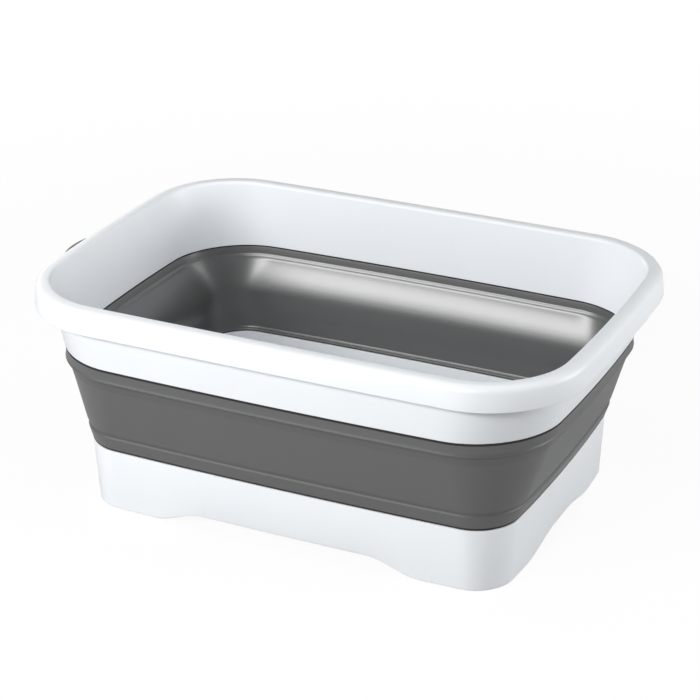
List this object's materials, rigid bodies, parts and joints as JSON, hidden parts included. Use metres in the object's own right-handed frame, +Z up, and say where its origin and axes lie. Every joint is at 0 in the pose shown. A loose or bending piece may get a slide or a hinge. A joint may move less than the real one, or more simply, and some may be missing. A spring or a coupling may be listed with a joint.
{
  "type": "folding foot basin",
  "caption": "Rectangular folding foot basin: stiff white rim and base joined by a soft grey wall that folds flat, with a hinged hanging loop at one end.",
  "frame": {"origin": "on the floor, under the middle of the base", "axes": "+X along the basin, away from the hanging loop; +Y across it, away from the viewer; +Z up"},
  "size_m": [0.444, 0.288, 0.17],
  "materials": {
    "white_plastic": "smooth white polypropylene, satin gloss",
    "soft_grey": "mid grey soft elastomer, satin",
    "dark_grey": "dark grey moulded plastic, satin"
  },
  "bodies": {
    "base": {"base_tub": "white_plastic", "lower_wall_strip": "soft_grey", "folding_wall_panel": "soft_grey"},
    "rim": {"rim_frame": "white_plastic", "upper_wall_strip": "soft_grey"},
    "loop": {"hanging_loop": "dark_grey"}
  },
  "joints": [
    {"name": "rim_fold", "type": "slide", "parent": "base", "child": "rim", "axis": [0, 0, 1], "range_m": [-0.102, 0], "deforming": ["folding_wall_panel"]},
    {"name": "loop_pivot", "type": "hinge", "parent": "rim", "child": "loop", "pos_m": [-0.202, 0, 0.1487], "axis": [0, -1, 0], "range_deg": [0, 90]}
  ]
}
